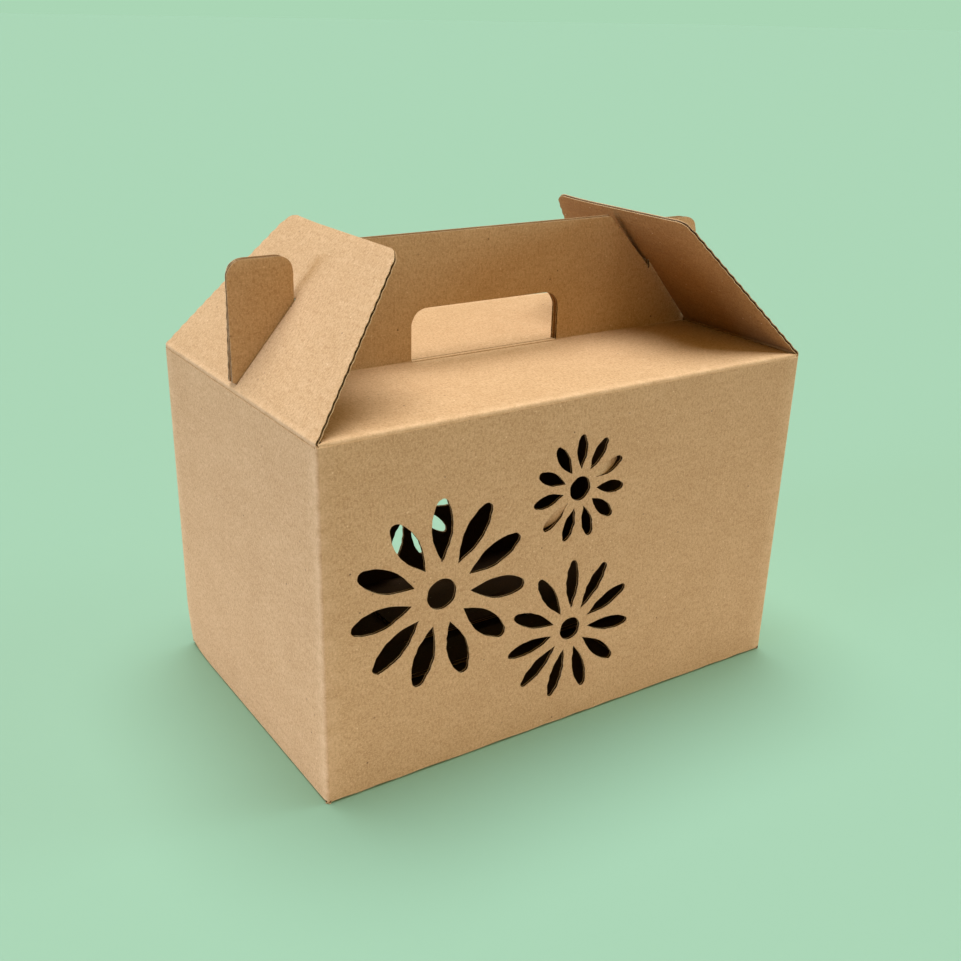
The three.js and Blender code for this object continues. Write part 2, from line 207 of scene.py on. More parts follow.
class Section:
    """A line of straight stretches and folds that a board follows, with its depth on the right."""

    TURN_STEPS = 6
    PALE_REACH = 0.8

    def __init__(self, start: Point, heading_degrees: float, steps: Sequence[Straight | Turn]) -> None:
        """Works out where each step starts.

        Args:
            start: Where the outer face starts.
            heading_degrees: Direction in which it sets out.
            steps: The stretches and folds, in order.
        """
        self.steps = list(steps)
        self.starts: list[float] = []
        self.points: list[Array] = []
        self.headings: list[float] = []
        at = 0.0
        point = np.array(start, float)
        heading = math.radians(heading_degrees)
        for step in self.steps:
            self.starts.append(at)
            self.points.append(point)
            self.headings.append(heading)
            if isinstance(step, Straight):
                point = point + step.length * self._along(heading)
            else:
                side = 1.0 if step.degrees > 0 else -1.0
                centre = point + side * step.radius * self._inward(heading)
                heading -= step.angle
                point = centre - side * step.radius * self._inward(heading)
            at += step.length
        self.length = at

    @staticmethod
    def _along(heading: float | Array) -> Array:
        """Unit vector along a heading."""
        return np.stack([np.cos(heading), np.sin(heading)], axis=-1)

    @staticmethod
    def _inward(heading: float | Array) -> Array:
        """Unit vector into the board, to the right of a heading."""
        return np.stack([np.sin(heading), -np.cos(heading)], axis=-1)

    def _mitre(self, index: int, depth: Array) -> Array:
        """How much a deep layer loses to the mitre of a fold.

        Args:
            index: The fold's place among the steps.
            depth: Depth below the outer face.

        Returns:
            The length lost at each depth, which is 0 where there is no such fold.
        """
        if index < 0 or index >= len(self.steps):
            return np.zeros_like(depth)
        turn = self.steps[index]
        if isinstance(turn, Straight) or turn.degrees < 0:
            return np.zeros_like(depth)
        return np.maximum(depth - turn.radius, 0) * math.tan(turn.angle / 2)

    def place(self, along: Array, depth: Array) -> Array:
        """Places points of the board on the section.

        Args:
            along: Distance along the outer face.
            depth: Depth below the outer face.

        Returns:
            One row of two coordinates for each point.
        """
        placed = np.zeros((len(along), 2))
        last = len(self.steps) - 1
        for i, step in enumerate(self.steps):
            low = -np.inf if i == 0 else self.starts[i]
            high = np.inf if i == last else self.starts[i] + step.length
            here = (along >= low) & (along <= high)
            t = along[here] - self.starts[i]
            d = depth[here]
            if isinstance(step, Straight):
                first = self._mitre(i - 1, d)
                final = step.length - self._mitre(i + 1, d)
                t = np.clip(t, first, None) if i > 0 else t
                t = np.clip(t, None, final) if i < last else t
                heading = self.headings[i]
                placed[here] = (
                    self.points[i] + t[:, None] * self._along(heading) + d[:, None] * self._inward(heading)
                )
                continue
            side = 1.0 if step.degrees > 0 else -1.0
            centre = self.points[i] + side * step.radius * self._inward(self.headings[i])
            heading = self.headings[i] - step.angle * t / step.length
            reach = (side * step.radius - d)[:, None]
            arc = centre - reach * self._inward(heading)
            middle = self._inward(self.headings[i] - step.angle / 2)
            corner = centre + (d - step.radius)[:, None] / math.cos(step.angle / 2) * middle
            crushed = (d > step.radius) & (side > 0)
            placed[here] = np.where(crushed[:, None], corner, arc)
        return placed

    def stops(self, spacing: float) -> list[float]:
        """Where the mesh needs a line along the section.

        Args:
            spacing: The most that two lines may stand apart on a flat stretch.

        Returns:
            Distances along the outer face.
        """
        found = [0.0]
        for start, step in zip(self.starts, self.steps):
            fold = isinstance(step, Turn)
            count = self.TURN_STEPS if fold else max(1, math.ceil(step.length / spacing))
            found += [start + step.length * (k + 1) / count for k in range(count)]
        return found

    def fold_weight(self, along: Array) -> Array:
        """How much of a fold each place is in.

        Args:
            along: Distance along the outer face.

        Returns:
            Numbers from 0 on the flat to 1 in a fold.
        """
        weight = np.zeros(len(along))
        for start, step in zip(self.starts, self.steps):
            if isinstance(step, Turn) and step.degrees > 0:
                past = np.maximum(start - along, along - start - step.length)
                weight = np.maximum(weight, np.clip(1 - past / self.PALE_REACH, 0, 1))
        return weight


Place = Callable[[Array, Array, Array], Array]


@dataclass
class Fold:
    """How a flat sheet with coordinates across and up becomes a folded board."""

    place: Place
    across: list[float]
    up: list[float]
    # Weight of a fold's pale band, which is partly wear and partly a painted highlight
    wear_and_painted_highlight: Callable[[Array, Array], Array]


def folded_up(section: Section, lift: Callable[[Array, Array], Array], across: list[float]) -> Fold:
    """A board whose height follows a section, and whose width runs straight across it.

    Args:
        section: The section that the height follows.
        lift: Turns the width and a point of the section into a point in space.
        across: Where the mesh needs a point across its width.

    Returns:
        The fold.
    """

    def place(a: Array, b: Array, depth: Array) -> Array:
        """Places points of the board in space."""
        return lift(a, section.place(b, depth))

    return Fold(place, across, section.stops(BOARD.pitch), lambda a, b: section.fold_weight(b))


# Flat outlines


def rounded(corners: Sequence[tuple[float, float, float]], steps: int = 8) -> list[Point]:
    """Rounds the corners of an outline.

    Args:
        corners: Each corner's two coordinates and its radius, which may be 0.
        steps: Facets to each round corner.

    Returns:
        The outline's points.
    """
    points: list[Point] = []
    count = len(corners)
    for i, (x, y, radius) in enumerate(corners):
        here = np.array([x, y])
        if radius == 0:
            points.append((x, y))
            continue
        before = np.array(corners[i - 1][:2]) - here
        after = np.array(corners[(i + 1) % count][:2]) - here
        before = before / np.linalg.norm(before)
        after = after / np.linalg.norm(after)
        half = math.acos(float(np.clip(before @ after, -1, 1))) / 2
        middle = (before + after) / np.linalg.norm(before + after)
        centre = here + middle * radius / math.sin(half)
        start = here + before * radius / math.tan(half) - centre
        end = here + after * radius / math.tan(half) - centre
        sweep = math.pi - 2 * half
        turn = math.copysign(sweep, start[0] * end[1] - start[1] * end[0])
        for k in range(steps + 1):
            angle = turn * k / steps
            cos, sin = math.cos(angle), math.sin(angle)
            points.append(
                (
                    float(centre[0] + start[0] * cos - start[1] * sin),
                    float(centre[1] + start[0] * sin + start[1] * cos),
                )
            )
    return points


def subdivided(points: Sequence[Point], spacing: float) -> list[Point]:
    """Adds points to a closed outline.

    Args:
        points: The outline.
        spacing: The most that two points may stand apart.

    Returns:
        The same outline with more points.
    """
    found: list[Point] = []
    for (x0, y0), (x1, y1) in zip(points, [*points[1:], points[0]]):
        count = max(1, math.ceil(math.hypot(x1 - x0, y1 - y0) / spacing))
        found += [(x0 + (x1 - x0) * k / count, y0 + (y1 - y0) * k / count) for k in range(count)]
    return found


def circle(x: float, y: float, radius: float, steps: int = 40) -> list[Point]:
    """Points of a circle."""
    turns = [2 * math.pi * k / steps for k in range(steps)]
    return [(x + radius * math.cos(t), y + radius * math.sin(t)) for t in turns]


def bezier(points: Sequence[Point], steps: int) -> list[Point]:
    """Draws a cubic curve.

    Args:
        points: The four control points.
        steps: How many stretches it is cut into.

    Returns:
        The curve's points.
    """
    control = np.array(points, float)
    found = []
    for k in range(steps + 1):
        t = k / steps
        weights = np.array([(1 - t) ** 3, 3 * t * (1 - t) ** 2, 3 * t**2 * (1 - t), t**3])
        found.append(tuple(float(c) for c in weights @ control))
    return found


@dataclass(frozen=True)
class Flower:
    """A cut-out flower: a hub hole and petals round it, placed from the wall's left edge and the floor."""

    across: float
    up: float
    hub: float
    inner: float
    outer: float
    width: float
    tip: float

    PETALS = 11
    WIDEST = 0.56
    FOOT_LENGTH = 0.22
    FOOT_WIDTH = 0.3
    BELLY = 0.2
    NOSE = 0.1
    JOIN = math.radians(68)
    RAGGED = 0.13

    def petal(self) -> list[Point]:
        """Outline of one petal that points along the first axis from the flower's middle.

        Returns:
            The outline's points.
        """
        length = self.outer - self.inner
        widest = self.inner + self.WIDEST * length
        end = (self.outer - self.tip + self.tip * math.cos(self.JOIN), self.tip * math.sin(self.JOIN))
        foot = bezier(
            [
                (self.inner, 0.0),
                (self.inner + self.FOOT_LENGTH * length, self.FOOT_WIDTH * self.width),
                (widest - self.BELLY * length, self.width / 2),
                (widest, self.width / 2),
            ],
            9,
        )
        nose = self.NOSE * length
        shoulder = bezier(
            [
                (widest, self.width / 2),
                (widest + self.BELLY * length, self.width / 2),
                (end[0] - nose * math.sin(self.JOIN), end[1] + nose * math.cos(self.JOIN)),
                end,
            ],
            7,
        )
        tip = []
        for k in range(1, 6):
            angle = self.JOIN * (1 - k / 5)
            tip.append((self.outer - self.tip + self.tip * math.cos(angle), self.tip * math.sin(angle)))
        side = foot + shoulder[1:] + tip
        return side + [(x, -y) for x, y in reversed(side[1:-1])]

    def holes(self, x: float, y: float) -> list[list[Point]]:
        """Outlines of the hub and petals about a place on the flat sheet.

        Args:
            x: Place across the sheet.
            y: Place up the sheet.

        Returns:
            The hub's outline and then each petal's, with the slightly ragged line of a blunted die.
        """
        found = [circle(x, y, self.hub)]
        outline = np.array(self.petal())
        ragged = np.random.default_rng(round(10 * self.across))
        for i in range(self.PETALS):
            angle = math.pi / 2 - 2 * math.pi * i / self.PETALS
            cos, sin = math.cos(angle), math.sin(angle)
            turned = outline @ np.array([[cos, sin], [-sin, cos]]) + np.array([x, y])
            turned += ragged.uniform(-self.RAGGED, self.RAGGED, turned.shape)
            found.append([(float(p[0]), float(p[1])) for p in turned])
        return found


FLOWERS = (
    Flower(across=69.1, up=105.6, hub=8.9, inner=17.9, outer=53.5, width=13.0, tip=3.7),
    Flower(across=156.6, up=146.6, hub=7.0, inner=11.2, outer=31.0, width=7.4, tip=2.2),
    Flower(across=155.5, up=60.7, hub=7.0, inner=12.7, outer=43.0, width=8.7, tip=2.3),
)


# Meshes


def inside(points: Array, loop: Sequence[Point]) -> Array:
    """Tells which points lie inside a closed outline.

    Args:
        points: The points, one a row.
        loop: The outline.

    Returns:
        True for each point inside.
    """
    found = np.zeros(len(points), bool)
    corners = np.array(loop)
    for (x0, y0), (x1, y1) in zip(corners, np.roll(corners, -1, axis=0)):
        if y0 == y1:
            continue
        crosses = (y0 > points[:, 1]) != (y1 > points[:, 1])
        reach = x0 + (points[:, 1] - y0) * (x1 - x0) / (y1 - y0)
        found ^= crosses & (points[:, 0] < reach)
    return found


def distance_to(points: Array, loops: Sequence[Sequence[Point]]) -> Array:
    """Measures each point's distance from the nearest of some closed outlines.

    Args:
        points: The points, one a row.
        loops: The outlines.

    Returns:
        The distances, which are infinite for points well clear of all outlines.
    """
    nearest = np.full(len(points), np.inf)
    for loop in loops:
        starts = np.array(loop)
        spans = np.roll(starts, -1, axis=0) - starts
        reach = np.maximum((spans**2).sum(axis=1), 1e-12)
        low, high = starts.min(axis=0) - 4, starts.max(axis=0) + 4
        near = np.flatnonzero(((points > low) & (points < high)).all(axis=1))
        if not len(near):
            continue
        away = points[near, None, :] - starts[None, :, :]
        share = np.clip((away * spans).sum(axis=2) / reach, 0, 1)
        gaps = np.linalg.norm(away - share[..., None] * spans, axis=2).min(axis=1)
        nearest[near] = np.minimum(nearest[near], gaps)
    return nearest


@dataclass
class Sheet:
    """A flat sheet: its outline, its holes, and whether its outline is die-cut, as its holes are."""

    outline: list[Point]
    holes: list[list[Point]] = field(default_factory=list)
    cut: bool = False

    CRUSH = 0.26
    CRUSH_REACH = 2.4
    SAG = 0.42
    CUT_STEP = 1.5

    def crushed(self, points: Array) -> Array:
        """How near each place is to a die-cut edge, from 1 on the edge to 0 clear of it."""
        loops = [*self.holes, self.outline] if self.cut else self.holes
        return np.clip(1 - distance_to(points, loops) / self.CRUSH_REACH, 0, 1)

    def triangles(self, across: Sequence[float], up: Sequence[float]) -> tuple[Array, Array]:
        """Cuts the sheet into triangles, with a line across it at each height.

        Args:
            across: Where each line gets a point.
            up: The heights of the lines.

        Returns:
            The points and the triangles.
        """
        points: list[Point] = []
        edges: list[tuple[int, int]] = []
        outline = subdivided(self.outline, self.CUT_STEP) if self.cut else self.outline
        for loop in [outline, *self.holes]:
            first = len(points)
            points += loop
            edges += [(first + i, first + (i + 1) % len(loop)) for i in range(len(loop))]
        spots = sorted(set(round(a, 4) for a in across))
        for height in sorted(set(round(b, 4) for b in up)):
            first = len(points)
            points += [(a, height) for a in spots]
            edges += [(first + i, first + i + 1) for i in range(len(spots) - 1)]
        result = delaunay_2d_cdt([Vector(p) for p in points], edges, [], 0, 1e-4, False)
        flat = np.array([tuple(p) for p in result[0]])
        faces = np.array(result[2])
        middles = flat[faces].mean(axis=1)
        kept = inside(middles, self.outline)
        for hole in self.holes:
            kept &= ~inside(middles, hole)
        faces = faces[kept]
        used, inverse = np.unique(faces, return_inverse=True)
        return flat[used], inverse.reshape(-1, 3)


class BoardMesh:
    """Collects the papers of one board and turns them into a Blender object."""

    def __init__(self, name: str) -> None:
        """Starts an empty board.

        Args:
            name: The object's name.
        """
        self.name = name
        self.points: list[Array] = []
        self.faces: list[Array] = []
        self.slots: list[Array] = []
        self.coords: list[Array] = []
        self.wear_and_painted_highlight: list[Array] = []
        self.count = 0

    def _add_skin(
        self, flat: Array, tris: Array, fold: Fold, near: Array, far: Array, slot: int
    ) -> None:
        """Adds one paper as a closed skin between two depths.

        Args:
            flat: Points on the flat sheet.
            tris: Triangles between them.
            fold: How the sheet is folded.
            near: Depth of the paper's outer face at each point.
            far: Depth of its inner face.
            slot: The paper's material slot.
        """
        a, b = flat[:, 0], flat[:, 1]
        top = fold.place(a, b, near)
        under = fold.place(a, b, far)
        n = len(flat)
        edges = np.concatenate([tris[:, [0, 1]], tris[:, [1, 2]], tris[:, [2, 0]]])
        keys = {(int(p), int(q)) for p, q in edges}
        rim = np.array([(p, q) for p, q in keys if (q, p) not in keys])
        sides = np.concatenate(
            [
                np.stack([rim[:, 1], rim[:, 0], rim[:, 0] + n], axis=1),
                np.stack([rim[:, 1], rim[:, 0] + n, rim[:, 1] + n], axis=1),
            ]
        )
        faces = np.concatenate([tris, tris[:, ::-1] + n, sides])
        slots = np.full(len(faces), slot)
        if slot != MaterialSlot.FLUTES.value:
            slots[2 * len(tris) :] = MaterialSlot.CUT.value
        wear_and_painted_highlight = fold.wear_and_painted_highlight(a, b)
        self.points += [top, under]
        self.faces.append(faces + self.count)
        self.slots.append(slots)
        self.coords.append(np.concatenate([flat, flat]))
        self.wear_and_painted_highlight.append(np.concatenate([wear_and_painted_highlight, wear_and_painted_highlight]))
        self.count += 2 * n

    def add(self, sheet: Sheet, fold: Fold, phase: float = 0.0) -> BoardMesh:
        """Adds a folded sheet of board: two liners and the fluting.

        Args:
            sheet: The flat sheet.
            fold: How it is folded.
            phase: Where the flutes start, in flutes.

        Returns:
            This board, for the next call.
        """
        flat, tris = sheet.triangles(fold.across, fold.up)
        crushed = sheet.crushed(flat)
        # At a cut edge the liners sink between the crests of the flutes
        ripple = np.sin(2 * math.pi * (flat[:, 1] / BOARD.pitch + phase))
        sunk = sheet.SAG * crushed * (1 + ripple) / 2
        whole = BOARD.thickness * (1 - sheet.CRUSH * crushed) - sheet.SAG * crushed * (1 - ripple) / 2
        self._add_skin(flat, tris, fold, sunk, sunk + BOARD.liner, MaterialSlot.OUTSIDE.value)
        self._add_skin(flat, tris, fold, whole - BOARD.liner, whole, MaterialSlot.INSIDE.value)
        heights = [b for _, b in sheet.outline]
        step = BOARD.pitch / 8
        rows = np.arange(min(heights) + step / 2, max(heights), step)
        folds = [b for b in fold.up if fold.wear_and_painted_highlight(np.array([0.0]), np.array([b]))[0] > 0]
        wide = [a for i, a in enumerate(fold.across) if i % 3 == 0 or len(fold.across) < 12]
        flat, tris = sheet.triangles(wide, [*rows, *folds])
        wave = BOARD.middle + BOARD.swing * np.sin(2 * math.pi * (flat[:, 1] / BOARD.pitch + phase))
        half = BOARD.medium / 2
        kept = 1 - sheet.CRUSH * sheet.crushed(flat)
        near, far = (wave - half) * kept, (wave + half) * kept
        self._add_skin(flat, tris, fold, near, far, MaterialSlot.FLUTES.value)
        return self

    def build(self, materials: Sequence[bpy.types.Material]) -> bpy.types.Object:
        """Makes the Blender object.

        Args:
            materials: One for each material slot, in their order.

        Returns:
            The object, linked to the scene.
        """
        points = Wear().settle(np.concatenate(self.points))
        faces = np.concatenate(self.faces)
        mesh = bpy.data.meshes.new(self.name)
        mesh.from_pydata((points * MM).tolist(), [], faces.tolist())
        for material in materials:
            mesh.materials.append(material)
        mesh.polygons.foreach_set("material_index", np.concatenate(self.slots).astype(np.int32))
        coords = np.concatenate(self.coords) * MM
        layer = mesh.uv_layers.new(name="board")
        layer.data.foreach_set("uv", coords[faces.reshape(-1)].astype(np.float32).reshape(-1))
        # Fold weight for the paper's pale band: partly rub, partly a painted highlight
        wear_and_painted_highlight = mesh.attributes.new("wear_and_painted_highlight", "FLOAT", "POINT")
        wear_and_painted_highlight.data.foreach_set("value", np.concatenate(self.wear_and_painted_highlight).astype(np.float32))
        mesh.polygons.foreach_set("use_smooth", np.ones(len(faces), bool))
        mesh.set_sharp_from_angle(angle=math.radians(32))
        mesh.validate()
        made = bpy.data.objects.new(self.name, mesh)
        bpy.context.scene.collection.objects.link(made)
        LOG.info("%s has %d triangles", self.name, len(faces))
        return made


@dataclass(frozen=True)
class Wear:
    """How the finished box departs from a crisp one: rounded corners, a bowed back and a dented foot."""

    push: float = 1.5
    push_height: float = 30.0
    push_reach: float = 34.0
    lift: float = 1.8
    lift_height: float = 12.0
    lift_reach: float = 14.0
    bow: float = 1.9
    bow_low: float = 50.0
    bow_rise: float = 140.0
    bow_inner: float = 20.0
    bow_span: float = 70.0
    waver: float = 0.22
    waver_height: float = 9.0
    waver_depth: float = 4.0

    def settle(self, points: Array) -> Array:
        """Moves the points of a crisp box to where use has put them.

        Args:
            points: Points in space, in millimetres.

        Returns:
            The moved points.
        """
        x, y, z = points.T
        # Two boards that meet at an upright corner share its round fold
        over_x = np.abs(x) - (BOX.half_length - BOX.fold)
        over_y = np.abs(y) - (BOX.half_width - BOX.fold)
        far = np.hypot(np.maximum(over_x, 0), np.maximum(over_y, 0))
        beyond = (over_x > 0) & (over_y > 0) & (far > BOX.fold)
        shrink = np.where(beyond, BOX.fold / np.maximum(far, 1e-6), 1.0)
        x = np.where(beyond, np.sign(x) * (BOX.half_length - BOX.fold + over_x * shrink), x)
        y = np.where(beyond, np.sign(y) * (BOX.half_width - BOX.fold + over_y * shrink), y)
        # The foot of the back left fold was pushed in
        near = np.hypot(x + BOX.half_length, y - BOX.half_width)
        push = np.clip(1 - z / self.push_height, 0, 1) ** 1.3
        push = push * np.clip(1 - near / self.push_reach, 0, 1) ** 1.5
        x = x + self.push * push
        y = y - self.push * push
        lift = self.lift * np.clip(1 - z / self.lift_height, 0, 1)
        z = z + lift * np.clip(1 - near / self.lift_reach, 0, 1)
        # The back wall stands a little proud of its corners, and takes the roof's edge up with it
        bow = 1 - np.clip(np.abs(x) / BOX.half_length, 0, 1) ** 4
        back = np.clip((y - self.bow_inner) / self.bow_span, 0, 1)
        rise = np.clip((z - self.bow_low) / self.bow_rise, 0, 1)
        z = z + self.bow * bow * back * back * (3 - 2 * back) * rise
        # The long folds at the foot waver a little
        outer = np.clip((BOX.half_width - np.abs(y)) < self.waver_depth, 0, 1)
        waver = np.clip(1 - z / self.waver_height, 0, 1) * outer
        z = z + self.waver * waver * (1 + np.sin(x / 5.1 + 2 * np.sin(x / 23.0)))
        return np.stack([x, y, z], axis=1)


# Nodes and finishes


def add_node(
    owner: bpy.types.Material | bpy.types.World,
    kind: str,
    links: dict[str | int, object],
    **settings: object,
) -> bpy.types.Node:
    """Adds a shader node, sets it up and links its inputs.

    Args:
        owner: The material or world that gets the node.
        kind: The node's type.
        links: For each input, a socket or node to link, or a value to set. A node gives its first output.
        settings: Properties of the node itself.

    Returns:
        The node.
    """
    tree = owner.node_tree
    node = tree.nodes.new(kind)
    for key, value in settings.items():
        setattr(node, key, value)
    for key, value in links.items():
        source = value.outputs[0] if isinstance(value, bpy.types.Node) else value
        if isinstance(source, bpy.types.NodeSocket):
            tree.links.new(source, node.inputs[key])
        else:
            node.inputs[key].default_value = source
    return node


@dataclass(frozen=True)
class Tone:
    """A colour laid over the paper where a pattern is strong."""

    low: float
    high: float
    strength: float
    colour: str


@dataclass(frozen=True)
class KraftPaper:
    """Finish of one of the board's papers: brown kraft, uncoated and matt."""

    name: str
    base: str
    shade: str
    pale: str
    mottle: float
    flecks: float
    flute_shadow: float
    relief: float

    # Sizes in metres. Real fibres are some 0.02 mm wide, so they are drawn as coarse as they need to show
    CLOUD = 0.030
    PATCH = 0.007
    FIBRE = 0.0014
    GRAIN = 0.000875
    FLECK = 0.0045
    FIBRE_STRETCH = (1.0, 0.62, 1.0)
    BARK = "#5A4026"
    STRAW = "#E9CFA4"
    FLECK_EDGE = (0.17, 0.06)
    BARK_SHARE = 0.2
    STRAW_SHARE = 0.3
    STRAW_SIZE = 0.8
    STRAW_OFFSET = (0.37, 0.11, 0.0)
    ROUGH = (0.82, 0.92)
    GLOSS = 0.28
    BUMP = 0.00016

    def _tone(self, material: bpy.types.Material, value: object, tone: Tone, colour: object) -> object:
        """Lays a tone over a colour.

        Args:
            material: The paper's material.
            value: The pattern, as a node or socket.
            tone: What is laid over the colour.
            colour: The colour under it, as a socket or a value.

        Returns:
            The socket of the new colour.
        """
        ends = {0: value, 1: tone.low, 2: tone.high, 3: 0.0, 4: tone.strength}
        amount = add_node(material, "ShaderNodeMapRange", ends)
        layers = {0: amount, 6: colour, 7: linear(tone.colour)}
        return add_node(material, "ShaderNodeMix", layers, data_type="RGBA").outputs[2]

    def _flecks(self, material: bpy.types.Material, coords: object, size: float, share: float) -> object:
        """Scatters small specks, each in a cell of its own, with most cells left empty.

        Args:
            material: The paper's material.
            coords: Place on the flat board.
            size: Size of a cell, in metres.
            share: Share of the cells that hold a speck.

        Returns:
            The node that is 1 in a speck.
        """
        cells = add_node(material, "ShaderNodeTexVoronoi", {"Vector": coords, "Scale": 1 / size})
        outer, inner = self.FLECK_EDGE
        near = add_node(material, "ShaderNodeMapRange", {0: cells.outputs["Distance"], 1: outer, 2: inner})
        ends = {0: cells.outputs["Color"], 1: 1 - share, 2: 1.1 - share}
        chosen = add_node(material, "ShaderNodeMapRange", ends)
        return add_node(material, "ShaderNodeMath", {0: near, 1: chosen}, operation="MULTIPLY")

    def build(self) -> bpy.types.Material:
        """Makes the material.

        Returns:
            The material.
        """
        material = bpy.data.materials.new(self.name)
        material.use_nodes = True
        material.node_tree.nodes.clear()
        uv = add_node(material, "ShaderNodeUVMap", {}, uv_map="board")
        stretched = add_node(material, "ShaderNodeMapping", {"Vector": uv, "Scale": self.FIBRE_STRETCH})
        clouds, patches, fibres, grain = (
            add_node(
                material,
                "ShaderNodeTexNoise",
                {"Vector": coords, "Scale": 1 / size, "Detail": detail},
            )
            for coords, size, detail in (
                (uv, self.CLOUD, 4.0),
                (uv, self.PATCH, 3.0),
                (stretched, self.FIBRE, 3.0),
                (uv, self.GRAIN, 2.0),
            )
        )
        # Flutes under the liner show as faint lines one pitch apart, darkened into the colour as a painted
        # shade as well as bumped
        height = add_node(material, "ShaderNodeSeparateXYZ", {0: uv}).outputs[1]
        turn = 2 * math.pi / (BOARD.pitch * MM)
        turns = add_node(material, "ShaderNodeMath", {0: height, 1: turn}, operation="MULTIPLY")
        ribs = add_node(material, "ShaderNodeMath", {0: turns}, operation="SINE")
        bark = self._flecks(material, uv, self.FLECK, self.BARK_SHARE)
        moved = add_node(material, "ShaderNodeMapping", {"Vector": uv, "Location": self.STRAW_OFFSET})
        straw = self._flecks(material, moved, self.FLECK * self.STRAW_SIZE, self.STRAW_SHARE)
        # A fold is painted pale: partly the rub of its stretched outer fibres, partly a painted highlight
        # along the crease
        wear_and_painted_highlight = add_node(material, "ShaderNodeAttribute", {}, attribute_name="wear_and_painted_highlight").outputs["Fac"]
        uneven = add_node(material, "ShaderNodeMapRange", {0: patches, 1: 0.2, 2: 0.7})
        rubbed_and_highlit = add_node(material, "ShaderNodeMath", {0: wear_and_painted_highlight, 1: uneven}, operation="MULTIPLY")
        colour: object = linear(self.base)
        for value, tone in (
            (clouds, Tone(0.3, 0.7, self.mottle, self.shade)),
            (patches, Tone(0.42, 0.72, self.mottle * 0.8, self.pale)),
            (fibres, Tone(0.44, 0.68, 0.7, self.shade)),
            (grain, Tone(0.48, 0.72, 0.66, self.pale)),
            (ribs, Tone(-1.0, 1.0, self.flute_shadow, self.shade)),
            (bark, Tone(0.0, 1.0, self.flecks, self.BARK)),
            (straw, Tone(0.0, 1.0, self.flecks, self.STRAW)),
            (rubbed_and_highlit, Tone(0.0, 1.0, 0.5, self.pale)),
        ):
            colour = self._tone(material, value, tone, colour)

        relief: object = 0.0
        for value, weight in ((fibres, 0.5), (grain, 0.35), (ribs, 0.16), (patches, 0.5)):
            terms = {0: value, 1: weight, 2: relief}
            relief = add_node(material, "ShaderNodeMath", terms, operation="MULTIPLY_ADD")
        surface = {"Height": relief, "Distance": self.BUMP, "Strength": self.relief}
        bump = add_node(material, "ShaderNodeBump", surface)
        least, most = self.ROUGH
        rough = add_node(material, "ShaderNodeMapRange", {0: patches, 1: 0.3, 2: 0.7, 3: least, 4: most})
        finish = {"Base Color": colour, "Roughness": rough, "Normal": bump}
        finish["Specular IOR Level"] = self.GLOSS
        shader = add_node(material, "ShaderNodeBsdfPrincipled", finish)
        add_node(material, "ShaderNodeOutputMaterial", {"Surface": shader})
        return material


@dataclass(frozen=True)
class Palette:
    """The papers of the whole box."""

    # Outer liner: smooth machine-glazed kraft, a warm even brown with scattered fibres
    outside: KraftPaper = KraftPaper(
        name="kraft_liner_outside",
        base="#CDAA7E",
        shade="#B0895C",
        pale="#E3C49A",
        mottle=0.34,
        flecks=0.85,
        flute_shadow=0.035,
        relief=0.7,
    )
    # Inner liner: the same pulp left rougher, a shade darker, with more flecks
    inside: KraftPaper = KraftPaper(
        name="kraft_liner_inside",
        base="#A17644",
        shade="#83592E",
        pale="#B58A57",
        mottle=0.4,
        flecks=0.6,
        flute_shadow=0.05,
        relief=0.8,
    )
    # Fluting: recycled medium, grey-brown and coarse, dark between the liners
    flutes: KraftPaper = KraftPaper(
        name="fluting_medium",
        base="#7C5C38",
        shade="#5F4326",
        pale="#94744B",
        mottle=0.5,
        flecks=0.4,
        flute_shadow=0.0,
        relief=0.8,
    )
    # Inner liner and fluting inside the closed box: the same rough paper painted dark brown, a painted shade
    # for the box's dark inside
    painted_shade_inside: KraftPaper = KraftPaper(
        name="kraft_liner_painted_shade_inside",
        base="#5E4528",
        shade="#4A3520",
        pale="#6E5130",
        mottle=0.4,
        flecks=0.3,
        flute_shadow=0.05,
        relief=0.8,
    )
    # Die-cut edge of a liner: torn fibre ends, paler than the face, and paler still as a painted highlight
    # where the edge catches the light
    cut: KraftPaper = KraftPaper(
        name="die_cut_edge_with_painted_highlight",
        base="#D3B183",
        shade="#B38E60",
        pale="#E6CBA0",
        mottle=0.5,
        flecks=0.3,
        flute_shadow=0.0,
        relief=0.9,
    )

    def build(self) -> list[bpy.types.Material]:
        """Makes the materials in the order of the slots."""
        return [self.outside.build(), self.inside.build(), self.flutes.build(), self.cut.build()]

    def closed(self, materials: list[bpy.types.Material]) -> list[bpy.types.Material]:
        """Gives the boards round the closed inside a painted-shade paper, a dark brown that stands in for
        the shade in there.

        Args:
            materials: The lit materials, in the order of the slots.

        Returns:
            The materials in the order of the slots, with the painted-shade one for the inner liner and the
            fluting.
        """
        # Painted shade: one dark brown paper stands in for the shade on the inner liner and fluting round
        # the inside
        painted_shade_inside = self.painted_shade_inside.build()
        return [materials[MaterialSlot.OUTSIDE.value], painted_shade_inside, painted_shade_inside, materials[MaterialSlot.CUT.value]]


# Parts of the box


def spaced(low: float, high: float, spacing: float) -> list[float]:
    """Spaces places evenly.

    Args:
        low: The first place.
        high: The last place.
        spacing: The most that two may stand apart.

    Returns:
        The places, both ends among them.
    """
    count = max(1, math.ceil((high - low) / spacing))
    return [low + (high - low) * k / count for k in range(count + 1)]


def turned(lift: Callable[[Array, Array], Array]) -> Callable[[Array, Array], Array]:
    """Turns a placing half round about the box's upright middle.

    Args:
        lift: The placing, from the width and a point of the section.

    Returns:
        The turned placing.
    """

    def around(a: Array, point: Array) -> Array:
        """Places the point and turns it."""
        return lift(a, point) * np.array([-1.0, -1.0, 1.0])

    return around


